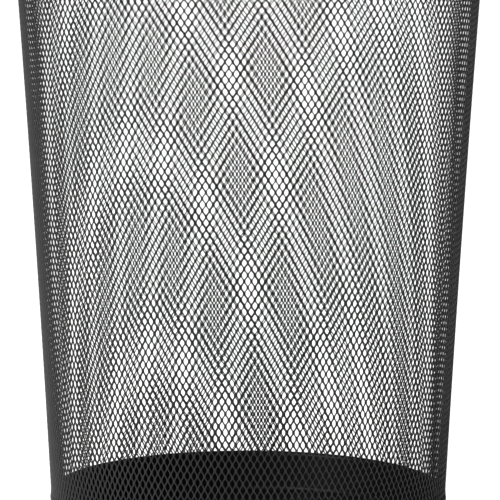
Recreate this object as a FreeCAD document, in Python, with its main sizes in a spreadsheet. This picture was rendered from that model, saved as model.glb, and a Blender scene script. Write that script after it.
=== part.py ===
import FreeCAD, Part
import os

import Sketcher

# A round, open-topped wastebasket: a flared wall of expanded steel mesh, the strip that joins the
# wall's two edges, a rolled steel rim over its top edge and a drawn steel pan inside its foot.
# Millimetres, +Z up, origin on the axis at the level that the pan stands on.

DRIVING_SIZES = {
    "overall_height": 355.0,
    # The outside of the mesh wall: its radius at the floor level and at the overall height, and
    # the radius of the shallow arc between them, which bows the side inwards by 1 mm.
    "foot_radius": 119.2,
    "mouth_radius": 141.3,
    "bow_radius": 16200.0,
    "mesh_thick": 1.2,
    "mesh_bottom": 0.8,
    "mesh_top": 352.4,
    # Left between the mesh and the sheet that is pressed onto it.
    "play": 0.05,
    # The flat strip behind the joint of the mesh. Its azimuth is counted from +X. The gap is
    # how far a flat face of its width stands off the inside of the round wall.
    "strip_width": 8.0,
    "strip_thick": 0.8,
    "strip_gap": 0.07,
    "strip_bottom": 26.0,
    "strip_top": 345.0,
    "strip_azimuth": 0.0,
    # The rim, a strip of sheet rolled over the top edge of the mesh.
    "rim_sheet": 0.6,
    "rim_width": 4.2,
    "rim_bend": 1.75,
    "rim_outer_skirt": 12.0,
    "rim_inner_skirt": 9.5,
    "rim_edge_round": 0.2,
    # The pan, drawn from sheet. Its wall ends in a bead that is curled outwards onto the mesh.
    "pan_sheet": 0.6,
    "pan_height": 25.2,
    "bead_radius": 2.25,
    # Where the curl stops, counted from the outward direction, down and under the bead.
    "curl_angle": 125.0,
    "foot_bend": 3.0,
}

FULL_TURN = 360.0
BAD_STATES = {"Invalid", "Error"}
SAME_RING = 0.02


def make_sizes(doc):
    """The sheet of driving dimensions, a name and a plain number in each row."""
    sheet = doc.addObject("Spreadsheet::Sheet", "sizes")
    for row, (name, size) in enumerate(DRIVING_SIZES.items(), start=1):
        sheet.set(f"A{row}", name)
        sheet.set(f"B{row}", str(size))
        sheet.setAlias(f"B{row}", name)
    doc.recompute()
    return sheet


def make_wall_line(doc):
    """The arc that every piece follows. Its centre lies far outside the basket, below its foot."""
    line = doc.addObject("App::VarSet", "line")
    half_width = "(sizes.mouth_radius - sizes.foot_radius) / 2"
    half_height = "sizes.overall_height / 2"
    formulas = {
        "half_chord": f"sqrt(({half_width})^2 + ({half_height})^2)",
        "reach": "sqrt(sizes.bow_radius^2 - line.half_chord^2)",
        "centre_out": f"sizes.foot_radius + {half_width} + line.reach * {half_height} / line.half_chord",
        "centre_height": f"{half_height} - line.reach * {half_width} / line.half_chord",
    }
    for name in formulas:
        line.addProperty("App::PropertyFloat", name, "Arc")
    for name, formula in formulas.items():
        line.setExpression(name, formula)
    doc.recompute()
    return line


def wall_at(height):
    """The formula for the mesh's outer radius at a height, which is a formula too."""
    return f"(line.centre_out - sqrt(sizes.bow_radius^2 - ({height} - line.centre_height)^2))"


def number(item, formula):
    """What a formula gives now."""
    return float(item.evalExpression(formula))


def as_vector(item, corner):
    radius, height = corner
    return FreeCAD.Vector(number(item, radius), number(item, height), 0)


def place_point(sketch, side, end, corner):
    """Binds one end of a side to a radius and a height."""
    measures = (("DistanceX", -2, corner[0]), ("DistanceY", -1, corner[1]))
    for kind, axis, formula in measures:
        if formula == "0":
            sketch.addConstraint(Sketcher.Constraint("PointOnObject", side, end, axis))
            continue
        size = number(sketch, formula)
        index = sketch.addConstraint(Sketcher.Constraint(kind, -1, 1, side, end, size))
        sketch.setExpression(f"Constraints[{index}]", formula)


def draw_section(body, corners, arcs):
    """A closed outline in the XZ plane. Corners are formulas for a radius and a height. Each arc
    is given by the number of its side, with a point that it passes through and its radius."""
    sketch = body.newObject("Sketcher::SketchObject", f"{body.Name}_section")
    plane = next(item for item in body.Origin.OriginFeatures if item.Role == "XZ_Plane")
    sketch.AttachmentSupport = [(plane, "")]
    sketch.MapMode = "FlatFace"
    points = [as_vector(sketch, corner) for corner in corners]
    first_ends = []
    for side, start in enumerate(points):
        stop = points[(side + 1) % len(points)]
        if side in arcs:
            middle = as_vector(sketch, arcs[side][0])
            sketch.addGeometry(Part.Arc(start, middle, stop))
        else:
            sketch.addGeometry(Part.LineSegment(start, stop))
        starts_at_1 = sketch.getPoint(side, 1).distanceToPoint(start) < SAME_RING
        first_ends.append(1 if starts_at_1 else 2)
    for side, corner in enumerate(corners):
        before = side - 1 if side else len(corners) - 1
        last_end = 3 - first_ends[before]
        sketch.addConstraint(Sketcher.Constraint("Coincident", before, last_end, side, first_ends[side]))
        place_point(sketch, side, first_ends[side], corner)
    for side, (_, radius) in arcs.items():
        size = number(sketch, radius)
        index = sketch.addConstraint(Sketcher.Constraint("Radius", side, size))
        sketch.setExpression(f"Constraints[{index}]", radius)
    return sketch


def make_ring(doc, name, corners, arcs):
    """A body that is turned from one section about the basket's axis."""
    body = doc.addObject("PartDesign::Body", name)
    sketch = draw_section(body, corners, arcs)
    turned = body.newObject("PartDesign::Revolution", f"{name}_turned")
    turned.Profile = (sketch, [""])
    turned.ReferenceAxis = (sketch, ["V_Axis"])
    turned.Angle = FULL_TURN
    sketch.Visibility = False
    doc.recompute()
    return body


def round_rings(doc, body, name, corners, radius):
    """Rounds the circular edges of a turned body that lie at the given corners."""
    base = body.Tip
    found = []
    for corner in corners:
        place = as_vector(base, corner)
        for index, edge in enumerate(base.Shape.Edges, start=1):
            if not isinstance(edge.Curve, Part.Circle):
                continue
            ring = FreeCAD.Vector(edge.Curve.Radius, edge.Curve.Center.z, 0)
            if ring.distanceToPoint(place) < SAME_RING:
                found.append(f"Edge{index}")
    if len(found) != len(corners):
        raise RuntimeError(f"{name}: {len(found)} edges found for {len(corners)} corners")
    rounding = body.newObject("PartDesign::Fillet", name)
    rounding.Base = (base, found)
    rounding.setExpression("Radius", radius)
    doc.recompute()


def make_mesh_wall(doc):
    """The expanded sheet, as a closed skin of its full thickness, without its diamond holes."""
    low, high = "sizes.mesh_bottom", "sizes.mesh_top"
    middle = f"({low} + {high}) / 2"
    corners = [
        (wall_at(low), low),
        (wall_at(high), high),
        (f"{wall_at(high)} - sizes.mesh_thick", high),
        (f"{wall_at(low)} - sizes.mesh_thick", low),
    ]
    arcs = {
        0: ((wall_at(middle), middle), "sizes.bow_radius"),
        2: ((f"{wall_at(middle)} - sizes.mesh_thick", middle), "sizes.bow_radius"),
    }
    return make_ring(doc, "mesh_wall", corners, arcs)


def make_seam_strip(doc):
    """The flat steel strip behind the joint of the mesh, which both of its edges are welded to."""
    low, high = "sizes.strip_bottom", "sizes.strip_top"
    middle = f"({low} + {high}) / 2"
    near_mesh = "sizes.mesh_thick - sizes.strip_gap"
    near_axis = f"{near_mesh} - sizes.strip_thick"
    corners = [
        (f"{wall_at(low)} - {near_mesh}", low),
        (f"{wall_at(high)} - {near_mesh}", high),
        (f"{wall_at(high)} - {near_axis}", high),
        (f"{wall_at(low)} - {near_axis}", low),
    ]
    arcs = {
        0: ((f"{wall_at(middle)} - {near_mesh}", middle), "sizes.bow_radius"),
        2: ((f"{wall_at(middle)} - {near_axis}", middle), "sizes.bow_radius"),
    }
    body = doc.addObject("PartDesign::Body", "seam_strip")
    sketch = draw_section(body, corners, arcs)
    pad = body.newObject("PartDesign::Pad", "seam_strip_pad")
    pad.Profile = (sketch, [""])
    pad.SideType = "Symmetric"
    pad.setExpression("Length", "sizes.strip_width")
    sketch.Visibility = False
    body.setExpression("Placement.Rotation.Angle", "sizes.strip_azimuth")
    doc.recompute()
    return body


def make_top_rim(doc):
    """The rim: two skirts that close on the mesh, joined over its top edge by a round crown."""
    sheet = "sizes.rim_sheet"
    top = "sizes.overall_height"
    outer_low = "sizes.overall_height - sizes.rim_outer_skirt"
    inner_low = "sizes.overall_height - sizes.rim_inner_skirt"
    outer_face = f"{wall_at(outer_low)} + sizes.play"
    inner_face = f"{wall_at(inner_low)} - sizes.mesh_thick - sizes.play"
    crown_centre = f"{wall_at(top)} - sizes.mesh_thick / 2"
    half_width = "sizes.rim_width / 2"
    half_inside = f"({half_width} - {sheet})"
    corners = [
        (f"{outer_face} + {sheet}", outer_low),
        (f"{crown_centre} + {half_width}", top),
        (f"{crown_centre} - {half_width}", top),
        (f"{inner_face} - {sheet}", inner_low),
        (inner_face, inner_low),
        (f"{crown_centre} - {half_inside}", f"{top} - {sheet}"),
        (f"{crown_centre} + {half_inside}", f"{top} - {sheet}"),
        (outer_face, outer_low),
    ]
    body = make_ring(doc, "top_rim", corners, {})
    skirt_edges = [corners[0], corners[3], corners[4], corners[7]]
    round_rings(doc, body, "crown_outside", corners[1:3], "sizes.rim_bend")
    round_rings(doc, body, "crown_inside", corners[5:7], f"sizes.rim_bend - {sheet}")
    round_rings(doc, body, "skirt_edges", skirt_edges, "sizes.rim_edge_round")
    return body


def make_base_pan(doc):
    """The pan: a flat floor that the basket stands on, and a wall inside the mesh, whose top edge
    is curled outwards into a bead that bears on the mesh."""
    sheet = "sizes.pan_sheet"
    bead = "sizes.bead_radius"
    bead_height = f"(sizes.pan_height - {bead})"
    bead_out = f"({wall_at(bead_height)} - sizes.mesh_thick - sizes.play - {bead})"
    inside_bead = f"({bead} - {sheet})"
    slope = f"({wall_at(bead_height)} - {wall_at('0')})"
    foot_inside = f"{bead_out} - {bead} - {slope}"
    curl_out = "cos(sizes.curl_angle * 1deg)"
    curl_down = "sin(sizes.curl_angle * 1deg)"
    corners = [
        ("0", "0"),
        (f"{foot_inside} + {sheet}", "0"),
        (f"{bead_out} - {inside_bead}", bead_height),
        (f"{bead_out} + {inside_bead} * {curl_out}", f"{bead_height} - {inside_bead} * {curl_down}"),
        (f"{bead_out} + {bead} * {curl_out}", f"{bead_height} - {bead} * {curl_down}"),
        (f"{bead_out} - {bead}", bead_height),
        (foot_inside, sheet),
        ("0", sheet),
    ]
    arcs = {
        2: ((bead_out, f"{bead_height} + {inside_bead}"), inside_bead),
        4: ((bead_out, f"{bead_height} + {bead}"), bead),
    }
    body = make_ring(doc, "base_pan", corners, arcs)
    round_rings(doc, body, "foot_bend_outside", [corners[1]], "sizes.foot_bend")
    round_rings(doc, body, "foot_bend_inside", [corners[6]], f"sizes.foot_bend - {sheet}")
    return body


def write_pieces(doc, pieces):
    """Checks the whole document, then writes each piece as a solid of its own."""
    failed = [item.Name for item in doc.Objects if BAD_STATES & set(item.State)]
    if failed:
        raise RuntimeError(f"failed objects: {failed}")
    for piece in pieces:
        if piece.Shape.isNull() or not piece.Shape.isValid() or len(piece.Shape.Solids) != 1:
            raise RuntimeError(f"{piece.Label} is not one valid solid")
    os.makedirs("parts", exist_ok=True)
    for piece in pieces:
        piece.Shape.exportStep(f"parts/{piece.Label}.step")
        box = piece.Shape.optimalBoundingBox()
        print(f"{piece.Label}: {piece.Shape.Volume:.0f} mm3, z {box.ZMin:.2f} to {box.ZMax:.2f}")


def main():
    doc = FreeCAD.newDocument("wastebasket")
    make_sizes(doc)
    make_wall_line(doc)
    pieces = [make_mesh_wall(doc), make_seam_strip(doc), make_top_rim(doc), make_base_pan(doc)]
    doc.recompute()
    write_pieces(doc, pieces)


main()
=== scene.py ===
import math

import bpy
import numpy as np
from mathutils import Matrix, Vector


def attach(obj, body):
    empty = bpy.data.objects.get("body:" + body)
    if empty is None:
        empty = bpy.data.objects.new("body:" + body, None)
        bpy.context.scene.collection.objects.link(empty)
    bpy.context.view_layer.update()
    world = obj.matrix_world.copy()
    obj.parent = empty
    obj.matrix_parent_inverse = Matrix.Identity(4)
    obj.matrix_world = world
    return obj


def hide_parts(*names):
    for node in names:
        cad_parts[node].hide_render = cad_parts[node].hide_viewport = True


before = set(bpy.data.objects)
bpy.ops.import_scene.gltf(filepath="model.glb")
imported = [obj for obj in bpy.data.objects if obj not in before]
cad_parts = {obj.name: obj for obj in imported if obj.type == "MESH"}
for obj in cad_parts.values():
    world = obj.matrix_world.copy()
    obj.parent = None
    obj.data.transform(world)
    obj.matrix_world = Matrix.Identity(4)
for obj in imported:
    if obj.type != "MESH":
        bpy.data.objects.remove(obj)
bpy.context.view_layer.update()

# ---------------------------------------------------------------- the basket's driving dimensions
# The mesh wall, as in the frame: outer radius at the floor level and at the full height, and the
# radius of the arc between them.
FULL_HEIGHT = 0.355
FOOT_RADIUS = 0.1192
MOUTH_RADIUS = 0.1413
BOW_RADIUS = 16.2
MESH_BOTTOM = 0.0008
MESH_TOP = 0.3524
# The bead of the pan pushes the mesh out a little. That is too slight for the frame's parts.
BULGE_HEIGHT = 0.0190
BULGE_SPREAD = 0.0022
BULGE_OUT = 0.0007

# The expanded mesh: how many diamonds fit round the wall, the strand between two knots, the
# knot's length, and the widths and thickness of the coated metal. The widths are those at
# ROW_DATUM, and fall by the share METAL_TAPER from the foot to the full height. Expanding the
# sheet twists the metal, so that each knot's left edge stands TWIST_DEPTH further out than its
# right edge.
DIAMONDS_ROUND = 183.473
COLUMNS = 183
STRAND_LENGTH = 0.003687
KNOT_LENGTH = 0.000804
STRAND_WIDTH = 0.00074
KNOT_WIDTH = 0.00150
METAL_TAPER = 0.2
SHEET_THICK = 0.0006
TWIST_DEPTH = 0.0006
MESH_DEPTH = 0.0012
# The metal's section is an octagon with its corners on an ellipse. This places the slanting ones.
ROUND_SHOULDER = math.sqrt(0.5)

# How the pattern sits on the wall: rows rise by LEAD_ROWS per radian round it, columns lean by
# LEAN_COLUMNS per metre of height, and one knot lies at row KNOT_ROW and column KNOT_COLUMN,
# counted from the height ROW_DATUM and from the front.
ROW_DATUM = 0.17095
LEAD_ROWS = 0.115230
LEAN_COLUMNS = -0.99801
KNOT_ROW = 0.2542
KNOT_COLUMN = 0.4001
PANELS = 5

# The sheet's joint is on the +X side: azimuths run from FIRST_AZIMUTH, round the back, the left
# and the front, to LAST_AZIMUTH.
FIRST_AZIMUTH = -3 * math.pi / 2
LAST_AZIMUTH = math.pi / 2

# The wall's line is worked out at LINE_POINTS heights, from LINE_SPARE below it to as far above.
# A knot's height and azimuth depend on each other, and are found in PLACING_ROUNDS rounds.
LINE_POINTS = 4001
LINE_SPARE = 0.02
PLACING_ROUNDS = 3


class WallLine:
    """The arc that the mesh's outer face follows, and where the diamonds' rows lie on it."""

    def __init__(self):
        half_width = (MOUTH_RADIUS - FOOT_RADIUS) / 2
        half_height = FULL_HEIGHT / 2
        half_chord = math.hypot(half_width, half_height)
        reach = math.sqrt(BOW_RADIUS**2 - half_chord**2)
        self.centre_out = FOOT_RADIUS + half_width + reach * half_height / half_chord
        self.centre_height = half_height - reach * half_width / half_chord
        self.heights = np.linspace(-LINE_SPARE, FULL_HEIGHT + LINE_SPARE, LINE_POINTS)
        row_pitch = self.row_pitch(self.heights)
        steps = np.diff(self.heights) * (1 / row_pitch[1:] + 1 / row_pitch[:-1]) / 2
        rows = np.concatenate([[0.0], np.cumsum(steps)])
        self.rows = rows - np.interp(ROW_DATUM, self.heights, rows)

    def radius(self, height):
        return self.centre_out - np.sqrt(BOW_RADIUS**2 - (height - self.centre_height) ** 2)

    def lean(self, height):
        """The wall's slope, in radians from upright."""
        return np.arcsin((height - self.centre_height) / BOW_RADIUS)

    def diamond_width(self, height):
        return 2 * math.pi * self.radius(height) / DIAMONDS_ROUND

    def row_pitch(self, height):
        """A strand keeps its length, so the rows close up where the wall's flare widens them."""
        half = self.diamond_width(height) / 2
        return KNOT_LENGTH + np.sqrt(STRAND_LENGTH**2 - half**2)

    def height_of_row(self, row):
        return np.interp(row, self.rows, self.heights)


def knot_place(line, column, row):
    """Azimuth from the front, positive to the right, and height of a place in the pattern."""
    turn = 2 * math.pi / DIAMONDS_ROUND
    azimuth = column * turn
    height = line.height_of_row(row)
    for _ in range(PLACING_ROUNDS):
        height = line.height_of_row(row - LEAD_ROWS * azimuth)
        azimuth = (column - LEAN_COLUMNS * (height - ROW_DATUM)) * turn
    return azimuth, height


def on_wall(line, azimuth, height, outwards):
    """Points at a depth from the middle of the mesh's thickness, along the wall's normal."""
    lean = line.lean(height)
    bulge = BULGE_OUT * np.exp(-(((height - BULGE_HEIGHT) / BULGE_SPREAD) ** 2) / 2)
    depth = outwards - MESH_DEPTH / 2 + bulge
    radius = line.radius(height) + depth * np.cos(lean)
    return np.stack(
        [radius * np.sin(azimuth), -radius * np.cos(azimuth), height - depth * np.sin(lean)], axis=-1
    )


# ------------------------------------------------------------------------------------ the mesh
def quad_mesh(name, points, quads, flat_from):
    """A mesh of four-sided faces, smooth up to face number flat_from and flat after it."""
    mesh = bpy.data.meshes.new(name)
    count = len(quads)
    mesh.vertices.add(len(points))
    mesh.vertices.foreach_set("co", points.astype(np.float32).ravel())
    mesh.loops.add(count * 4)
    mesh.loops.foreach_set("vertex_index", quads.astype(np.int32).ravel())
    mesh.polygons.add(count)
    mesh.polygons.foreach_set("loop_start", np.arange(0, count * 4, 4, dtype=np.int32))
    mesh.polygons.foreach_set("use_smooth", np.arange(count) < flat_from)
    mesh.update(calc_edges=True)
    mesh.validate()
    piece = bpy.data.objects.new(name, mesh)
    bpy.context.scene.collection.objects.link(piece)
    return piece


def knot_grid(line, rows, columns):
    """Azimuths and heights of the knots in some rows and columns."""
    row, column = np.meshgrid(rows, columns, indexing="ij")
    return knot_place(line, KNOT_COLUMN + column + (row % 2) / 2, KNOT_ROW + row)


def hole_outline(line, azimuth, height, above, below, share):
    """Six points round each hole, anticlockwise from outside. share is how far they stand from the
    strands' middle lines, 1 at the metal's edge."""
    half = line.diamond_width(height) / 2
    spread = share * (1 + METAL_TAPER * (ROW_DATUM - height) / FULL_HEIGHT)
    slant = STRAND_LENGTH / half * STRAND_WIDTH / 2 * spread
    side = half - KNOT_WIDTH / 2 * spread
    rise = np.sqrt(STRAND_LENGTH**2 - half**2) / half
    corner = KNOT_LENGTH / 2 + KNOT_WIDTH / 2 * spread * rise - slant
    tip = KNOT_LENGTH / 2 + slant
    nothing = np.zeros_like(half)
    across = np.stack([side, side, nothing, -side, -side, nothing], axis=-1)
    up = np.stack([-corner, corner, above - tip, corner, -corner, tip - below], axis=-1)
    turn = 2 * math.pi / DIAMONDS_ROUND / (2 * half)
    return azimuth[..., None] + across * turn[..., None], height[..., None] + up


def mesh_panel(line, name, first_column, last_column, first_row, last_row):
    """One panel of the sheet: closed, round-edged metal round every whole hole of its columns."""
    rows = np.arange(first_row - 1, last_row + 2)
    columns = np.arange(first_column - 1, last_column + 2)
    azimuth, height = knot_grid(line, rows, columns)
    half_knot = KNOT_LENGTH / 2
    knot_azimuth = np.stack([azimuth, azimuth], axis=-1)
    knot_height = np.stack([height - half_knot, height + half_knot], axis=-1)
    ridge_ids = np.arange(knot_azimuth.size).reshape(knot_azimuth.shape)

    r, c = np.meshgrid(np.arange(1, len(rows) - 1), np.arange(1, len(columns) - 1), indexing="ij")
    r, c = r.ravel(), c.ravel()
    shift = (rows[r] % 2).astype(int)
    lowest = height[r - 1, c + shift] + half_knot
    highest = height[r + 1, c + shift] - half_knot
    whole = (lowest > MESH_BOTTOM) & (highest < MESH_TOP)
    r, c, shift = r[whole], c[whole], shift[whole]
    low, high = 0, 1
    ridges = np.stack(
        [
            ridge_ids[r, c + 1, low],
            ridge_ids[r, c + 1, high],
            ridge_ids[r + 1, c + shift, low],
            ridge_ids[r, c, high],
            ridge_ids[r, c, low],
            ridge_ids[r - 1, c + shift, high],
        ],
        axis=-1,
    )
    middle_azimuth = (azimuth[r, c] + azimuth[r, c + 1]) / 2
    middle_height = (height[r, c] + height[r, c + 1]) / 2
    above = height[r + 1, c + shift] - middle_height
    below = middle_height - height[r - 1, c + shift]

    twist = TWIST_DEPTH / 2 * np.array([1, 1, 0, -1, -1, 0])

    def outline(share, outwards):
        turns, heights = hole_outline(line, middle_azimuth, middle_height, above, below, share)
        return on_wall(line, turns, heights, outwards + twist * share).reshape(-1, 3)

    half_sheet = SHEET_THICK / 2
    front = on_wall(line, knot_azimuth, knot_height, half_sheet).reshape(-1, 3)
    back = on_wall(line, knot_azimuth, knot_height, -half_sheet).reshape(-1, 3)
    layers = [
        front,
        outline(ROUND_SHOULDER, half_sheet * ROUND_SHOULDER),
        outline(1.0, 0.0),
        outline(ROUND_SHOULDER, -half_sheet * ROUND_SHOULDER),
        back,
    ]
    starts = np.cumsum([0] + [len(layer) for layer in layers[:-1]])
    holes = len(r)
    own = np.arange(holes * 6).reshape(holes, 6)
    rings = [ridges + starts[0]] + [own + start for start in starts[1:4]] + [ridges + starts[4]]
    quads = []
    for outer, inner in zip(rings[:-1], rings[1:]):
        following_outer = np.roll(outer, -1, axis=1)
        following_inner = np.roll(inner, -1, axis=1)
        quads.append(np.stack([inner, outer, following_outer, following_inner], axis=-1).reshape(-1, 4))
    smooth = np.concatenate(quads)

    # The panel's border runs along the middle of strands: a flat face closes each of them there.
    start, stop = ridges, np.roll(ridges, -1, axis=1)
    pairs = np.stack([np.minimum(start, stop), np.maximum(start, stop)], axis=-1).reshape(-1, 2)
    _, place, times = np.unique(pairs, axis=0, return_index=True, return_counts=True)
    edge = place[times == 1]
    start, stop = start.ravel()[edge], stop.ravel()[edge]
    closing = np.stack(
        [stop + starts[0], start + starts[0], start + starts[4], stop + starts[4]], axis=-1
    )
    quads = np.concatenate([smooth, closing])
    used, quads = np.unique(quads, return_inverse=True)
    points = np.concatenate(layers)[used]
    return quad_mesh(name, points, quads.reshape(-1, 4), len(smooth))


def make_mesh_wall():
    line = WallLine()
    first_column = math.ceil(FIRST_AZIMUTH / (2 * math.pi) * DIAMONDS_ROUND - KNOT_COLUMN)
    lowest, highest = np.interp([MESH_BOTTOM, MESH_TOP], line.heights, line.rows)
    first_row = math.floor(lowest + LEAD_ROWS * FIRST_AZIMUTH)
    last_row = math.ceil(highest + LEAD_ROWS * LAST_AZIMUTH)
    borders = [first_column + round(COLUMNS * share / PANELS) for share in range(PANELS + 1)]
    return [
        mesh_panel(line, f"mesh_wall_{number}", start, stop - 1, first_row, last_row)
        for number, (start, stop) in enumerate(zip(borders[:-1], borders[1:]), start=1)
    ]


# ---------------------------------------------------------------------------------- materials
COAT_SPECULAR = 0.35
COAT_DARK = (0.007, 0.007, 0.0072, 1)
COAT_LIGHT = (0.014, 0.014, 0.0145, 1)
CLOUD_SCALE = 55
GLOSS_SPREAD = 0.07


def powder_coat(name, grain_size, bump_height, roughness):
    """Black powder coat: a fine pebbled film with a slightly uneven gloss."""
    material = bpy.data.materials.new(name)
    material.use_nodes = True
    nodes, links = material.node_tree.nodes, material.node_tree.links
    shader = nodes["Principled BSDF"]
    shader.inputs["Specular IOR Level"].default_value = COAT_SPECULAR
    place = nodes.new("ShaderNodeTexCoord")
    cloud = nodes.new("ShaderNodeTexNoise")
    cloud.inputs["Scale"].default_value = CLOUD_SCALE
    cloud.inputs["Detail"].default_value = 4
    grain = nodes.new("ShaderNodeTexNoise")
    grain.inputs["Scale"].default_value = 1 / grain_size
    grain.inputs["Detail"].default_value = 2
    tone = nodes.new("ShaderNodeValToRGB")
    tone.color_ramp.elements[0].color = COAT_DARK
    tone.color_ramp.elements[1].color = COAT_LIGHT
    gloss = nodes.new("ShaderNodeMapRange")
    gloss.inputs["To Min"].default_value = roughness - GLOSS_SPREAD
    gloss.inputs["To Max"].default_value = roughness + GLOSS_SPREAD
    bump = nodes.new("ShaderNodeBump")
    bump.inputs["Strength"].default_value = 1.0
    bump.inputs["Distance"].default_value = bump_height
    links.new(place.outputs["Object"], cloud.inputs["Vector"])
    links.new(place.outputs["Object"], grain.inputs["Vector"])
    links.new(cloud.outputs["Fac"], tone.inputs["Fac"])
    links.new(cloud.outputs["Fac"], gloss.inputs["Value"])
    links.new(grain.outputs["Fac"], bump.inputs["Height"])
    links.new(tone.outputs["Color"], shader.inputs["Base Color"])
    links.new(gloss.outputs["Result"], shader.inputs["Roughness"])
    links.new(bump.outputs["Normal"], shader.inputs["Normal"])
    return material


# -------------------------------------------------------------------------------------- stage
CAMERA_DISTANCE = 3.2313
CAMERA_ELEVATION = math.radians(8.602)
CAMERA_ROLL = 0.0015167
AIM_HEIGHT = 0.17095
SENSOR_MM = 36.0
LENS_MM = 383.92
SHIFT_ACROSS = 0.0029
FLOOR_REACH = 30.0
# The floor lies a hair below the pan, so that the two faces never coincide.
FLOOR_HEIGHT = -0.0001
FLOOR_COLOUR = (0.9, 0.9, 0.9)
FLOOR_GLOW = 1.15
WORLD_GLOW = 0.12
KEY_PLACE = (-2.2, -2.0, 1.8)
KEY_AIM = (0, 0, 0.18)
KEY_SIZE = 1.6
KEY_WATTS = 60


def make_camera():
    data = bpy.data.cameras.new("camera")
    data.sensor_width = SENSOR_MM
    data.lens = LENS_MM
    data.shift_x = SHIFT_ACROSS
    data.clip_end = 100
    camera = bpy.data.objects.new("camera", data)
    bpy.context.scene.collection.objects.link(camera)
    place = Vector((0, -CAMERA_DISTANCE * math.cos(CAMERA_ELEVATION), 0))
    place.z = AIM_HEIGHT + CAMERA_DISTANCE * math.sin(CAMERA_ELEVATION)
    upright = Matrix.Rotation(math.pi / 2 - CAMERA_ELEVATION, 4, "X")
    roll = Matrix.Rotation(CAMERA_ROLL, 4, "Z")
    camera.matrix_world = Matrix.Translation(place) @ upright @ roll
    bpy.context.scene.camera = camera


def glowing(name, colour, strength):
    material = bpy.data.materials.new(name)
    material.use_nodes = True
    shader = material.node_tree.nodes["Principled BSDF"]
    shader.inputs["Base Color"].default_value = (*colour, 1)
    shader.inputs["Roughness"].default_value = 0.9
    shader.inputs["Emission Color"].default_value = (*colour, 1)
    shader.inputs["Emission Strength"].default_value = strength
    return material


def make_floor():
    mesh = bpy.data.meshes.new("floor")
    ways = [(-1, -1), (1, -1), (1, 1), (-1, 1)]
    corners = [(x * FLOOR_REACH, y * FLOOR_REACH, FLOOR_HEIGHT) for x, y in ways]
    mesh.from_pydata(corners, [], [(0, 1, 2, 3)])
    floor = bpy.data.objects.new("floor", mesh)
    bpy.context.scene.collection.objects.link(floor)
    mesh.materials.append(glowing("pale_floor", FLOOR_COLOUR, FLOOR_GLOW))


def make_light(name, place, aim, size, watts):
    data = bpy.data.lights.new(name, "AREA")
    data.shape = "SQUARE"
    data.size = size
    data.energy = watts
    light = bpy.data.objects.new(name, data)
    bpy.context.scene.collection.objects.link(light)
    light.location = place
    light.rotation_euler = (Vector(aim) - Vector(place)).to_track_quat("-Z", "Y").to_euler()


def make_world():
    world = bpy.data.worlds.new("studio")
    bpy.context.scene.world = world
    world.use_nodes = True
    background = world.node_tree.nodes["Background"]
    background.inputs["Color"].default_value = (1, 1, 1, 1)
    background.inputs["Strength"].default_value = WORLD_GLOW


mesh_coat = powder_coat("mesh_coat", 0.0004, 0.00003, 0.42)
rim_coat = powder_coat("rim_coat", 0.0009, 0.00004, 0.38)
pan_coat = powder_coat("pan_coat", 0.0009, 0.00004, 0.38)

for panel in make_mesh_wall():
    panel.data.materials.append(mesh_coat)
    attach(panel, "root")
    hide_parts("mesh_wall")

for node, coat in (("seam_strip", mesh_coat), ("top_rim", rim_coat), ("base_pan", pan_coat)):
    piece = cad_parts[node]
    for slot in piece.material_slots:
        slot.material = coat

make_camera()
make_floor()
make_world()
make_light("key", KEY_PLACE, KEY_AIM, KEY_SIZE, KEY_WATTS)
bpy.context.scene.view_settings.view_transform = "Standard"
